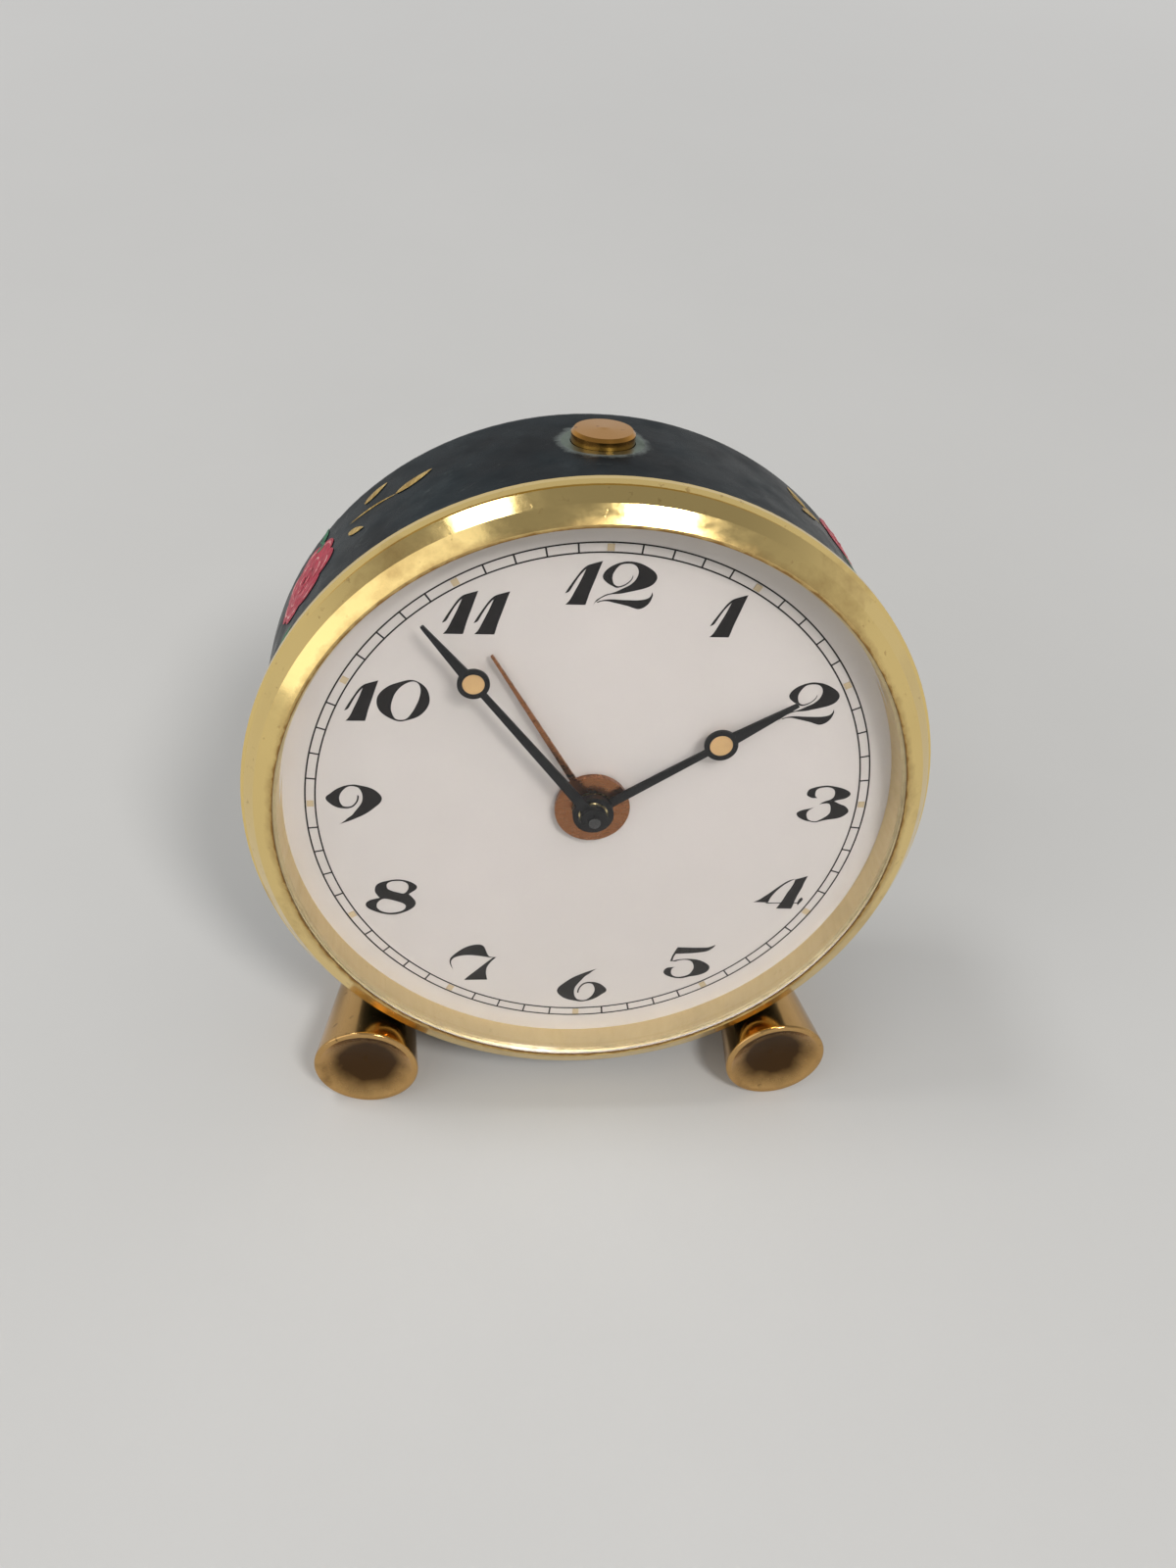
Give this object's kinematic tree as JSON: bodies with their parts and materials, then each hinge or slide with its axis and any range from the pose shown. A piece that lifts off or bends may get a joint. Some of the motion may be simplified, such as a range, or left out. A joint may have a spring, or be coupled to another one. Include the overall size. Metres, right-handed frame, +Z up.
{
  "type": "desk alarm clock",
  "caption": "Round wind-up desk alarm clock: lacquered drum case with brass bezel and domed glass, leaning back on brass cone feet, with folding keys at the back.",
  "frame": {"origin": "on the table, straight below the centre of the dial's face", "axes": "+Z up, +X to the right of someone who reads the dial, +Y away from them, towards the back of the clock"},
  "size_m": [0.064, 0.0357, 0.0665],
  "materials": {
    "case_lacquer": "glossy dark lacquer with painted sprays",
    "bezel_brass": "polished, light, a little tarnished",
    "ring_brass": "satin",
    "crystal": "clear domed",
    "dial": "matt warm white",
    "lume": "aged luminous paint",
    "hand_black": "black",
    "copper": "satin, coppery",
    "foot_brass": "worn coppery brass",
    "key_brass": "polished",
    "movement_brass": "satin",
    "cover_brass": "brushed",
    "ring_metal": "plain",
    "steel": "fine brushed"
  },
  "bodies": {
    "case": {"case_band": "case_lacquer", "bezel": "bezel_brass", "crystal": "crystal", "dial_ring": "ring_brass", "dial": "dial", "hour_marks": "lume", "foot_left": "foot_brass", "foot_right": "foot_brass", "foot_collars": "foot_brass", "foot_screws": "steel", "button_bush": "foot_brass", "movement_ring": "ring_metal", "front_plate": "movement_brass", "rear_plate": "movement_brass", "plate_pillars": "movement_brass", "plate_screws": "steel", "back_cover": "cover_brass", "cover_screws": "steel", "gong_post": "steel", "hairspring": "steel"},
    "minute_work": {"minute_hand": "hand_black", "minute_lume": "lume", "centre_arbor": "steel", "cannon_pinion": "steel", "set_knob": "key_brass"},
    "minute_wheel": {"minute_wheel": "movement_brass"},
    "hour_work": {"hour_hand": "hand_black", "hour_lume": "lume", "hour_wheel": "movement_brass"},
    "alarm_setting": {"alarm_set_arbor": "steel", "alarm_knob": "key_brass"},
    "alarm_pointer": {"alarm_hand": "copper", "alarm_wheel": "movement_brass"},
    "time_barrel": {"time_barrel": "movement_brass"},
    "intermediate_wheel": {"intermediate_wheel": "movement_brass"},
    "centre_wheel": {"centre_wheel": "movement_brass"},
    "third_wheel": {"third_wheel": "movement_brass"},
    "fourth_wheel": {"fourth_wheel": "movement_brass"},
    "escape_wheel": {"escape_wheel": "movement_brass"},
    "pallet_fork": {"pallet_fork": "steel"},
    "balance_wheel": {"balance_wheel": "movement_brass"},
    "time_winding": {"time_winding_arbor": "steel", "time_ratchet": "steel", "time_key_hub": "key_brass", "time_key_pin": "steel"},
    "time_key_bow": {"time_key_bow": "key_brass"},
    "time_click": {"time_click": "steel"},
    "alarm_barrel": {"alarm_barrel": "movement_brass"},
    "alarm_escape_wheel": {"alarm_escape_wheel": "movement_brass"},
    "hammer": {"hammer": "steel"},
    "alarm_winding": {"alarm_winding_arbor": "steel", "alarm_ratchet": "steel", "alarm_key_hub": "key_brass", "alarm_key_pin": "steel"},
    "alarm_key_bow": {"alarm_key_bow": "key_brass"},
    "alarm_click": {"alarm_click": "steel"},
    "stop_button": {"stop_button": "foot_brass"},
    "stop_lever": {"stop_lever": "steel"},
    "regulator": {"regulator": "steel"}
  },
  "joints": [
    {"name": "minute_turn", "type": "hinge", "parent": "case", "child": "minute_work", "pos_m": [0, 0, 0.03523], "axis": [0, 0.9714, -0.2373], "continuous": true},
    {"name": "minute_wheel_turn", "type": "hinge", "parent": "case", "child": "minute_wheel", "pos_m": [0, 0.0039, 0.04045], "axis": [0, 0.9714, -0.2373], "continuous": true},
    {"name": "hour_turn", "type": "hinge", "parent": "case", "child": "hour_work", "pos_m": [0, 0, 0.03523], "axis": [0, 0.9714, -0.2373], "continuous": true},
    {"name": "alarm_setting_turn", "type": "hinge", "parent": "case", "child": "alarm_setting", "pos_m": [0.00173, 0.00794, 0.02559], "axis": [0, 0.9714, -0.2373], "continuous": true},
    {"name": "alarm_pointer_turn", "type": "hinge", "parent": "case", "child": "alarm_pointer", "pos_m": [0, 0, 0.03523], "axis": [0, 0.9714, -0.2373], "continuous": true},
    {"name": "time_barrel_turn", "type": "hinge", "parent": "case", "child": "time_barrel", "pos_m": [-0.01546, 0.00712, 0.03068], "axis": [0, 0.9714, -0.2373], "continuous": true},
    {"name": "intermediate_wheel_turn", "type": "hinge", "parent": "case", "child": "intermediate_wheel", "pos_m": [-0.00563, 0.0066, 0.02852], "axis": [0, 0.9714, -0.2373], "continuous": true},
    {"name": "centre_wheel_turn", "type": "hinge", "parent": "case", "child": "centre_wheel", "pos_m": [0, 0.00777, 0.03333], "axis": [0, 0.9714, -0.2373], "continuous": true},
    {"name": "third_wheel_turn", "type": "hinge", "parent": "case", "child": "third_wheel", "pos_m": [-0.0024, 0.00934, 0.03974], "axis": [0, 0.9714, -0.2373], "continuous": true},
    {"name": "fourth_wheel_turn", "type": "hinge", "parent": "case", "child": "fourth_wheel", "pos_m": [-0.00134, 0.01077, 0.0456], "axis": [0, 0.9714, -0.2373], "continuous": true},
    {"name": "escape_wheel_turn", "type": "hinge", "parent": "case", "child": "escape_wheel", "pos_m": [0.00424, 0.01029, 0.04362], "axis": [0, 0.9714, -0.2373], "continuous": true},
    {"name": "pallet_fork_rock", "type": "hinge", "parent": "case", "child": "pallet_fork", "pos_m": [0.00814, 0.00975, 0.04144], "axis": [0, 0.9714, -0.2373], "range_deg": [-5, 5]},
    {"name": "balance_swing", "type": "hinge", "parent": "case", "child": "balance_wheel", "pos_m": [0.01182, 0.00902, 0.03844], "axis": [0, 0.9714, -0.2373], "range_deg": [-250, 250]},
    {"name": "time_winding_turn", "type": "hinge", "parent": "case", "child": "time_winding", "pos_m": [-0.01546, 0.01766, 0.02811], "axis": [0, 0.9714, -0.2373], "continuous": true},
    {"name": "time_key_fold", "type": "hinge", "parent": "time_winding", "child": "time_key_bow", "pos_m": [-0.01546, 0.02029, 0.02747], "axis": [1, 0, 0], "range_deg": [0, 90]},
    {"name": "time_click_lift", "type": "hinge", "parent": "case", "child": "time_click", "pos_m": [-0.01782, 0.01449, 0.03556], "axis": [0, 0.9714, -0.2373], "range_deg": [-8, 0]},
    {"name": "alarm_barrel_turn", "type": "hinge", "parent": "case", "child": "alarm_barrel", "pos_m": [0.0142, 0.00599, 0.02604], "axis": [0, 0.9714, -0.2373], "continuous": true},
    {"name": "alarm_escape_turn", "type": "hinge", "parent": "case", "child": "alarm_escape_wheel", "pos_m": [0.00713, 0.00696, 0.03001], "axis": [0, 0.9714, -0.2373], "continuous": true},
    {"name": "hammer_swing", "type": "hinge", "parent": "case", "child": "hammer", "pos_m": [0.00993, 0.00544, 0.03537], "axis": [0, 0.9714, -0.2373], "range_deg": [-5.5, 5.5]},
    {"name": "alarm_winding_turn", "type": "hinge", "parent": "case", "child": "alarm_winding", "pos_m": [0.0142, 0.01653, 0.02347], "axis": [0, 0.9714, -0.2373], "continuous": true},
    {"name": "alarm_key_fold", "type": "hinge", "parent": "alarm_winding", "child": "alarm_key_bow", "pos_m": [0.0142, 0.01915, 0.02283], "axis": [1, 0, 0], "range_deg": [0, 90]},
    {"name": "alarm_click_lift", "type": "hinge", "parent": "case", "child": "alarm_click", "pos_m": [0.01208, 0.0132, 0.03028], "axis": [0, 0.9714, -0.2373], "range_deg": [-8, 0]},
    {"name": "stop_button_press", "type": "slide", "parent": "case", "child": "stop_button", "axis": [0, -0.2373, -0.9714], "range_m": [0, 0.0009], "stiffness_N_per_m": 150, "springref_m": -0.002},
    {"name": "stop_lever_turn", "type": "hinge", "parent": "case", "child": "stop_lever", "pos_m": [0.012, 0.01446, 0.0527], "axis": [0, 0.9714, -0.2373], "range_deg": [-8.5, 0]},
    {"name": "regulator_turn", "type": "hinge", "parent": "case", "child": "regulator", "pos_m": [0.01182, 0.0147, 0.03705], "axis": [0, 0.9714, -0.2373], "range_deg": [-18, 18]}
  ],
  "couplings": [
    {"joint": "minute_wheel_turn", "follows": "minute_turn", "ratio": -0.33333},
    {"joint": "hour_turn", "follows": "minute_turn", "ratio": 0.083333},
    {"joint": "alarm_pointer_turn", "follows": "alarm_setting_turn", "ratio": -0.33333},
    {"joint": "third_wheel_turn", "follows": "fourth_wheel_turn", "ratio": -0.13333},
    {"joint": "centre_wheel_turn", "follows": "fourth_wheel_turn", "ratio": 0.016667},
    {"joint": "intermediate_wheel_turn", "follows": "fourth_wheel_turn", "ratio": -0.0041667},
    {"joint": "time_barrel_turn", "follows": "fourth_wheel_turn", "ratio": 0.00069444},
    {"joint": "escape_wheel_turn", "follows": "fourth_wheel_turn", "ratio": -8},
    {"joint": "alarm_escape_turn", "follows": "alarm_barrel_turn", "ratio": -5},
    {"joint": "stop_lever_turn", "follows": "stop_button_press", "rad_per_m": -83.307}
  ]
}
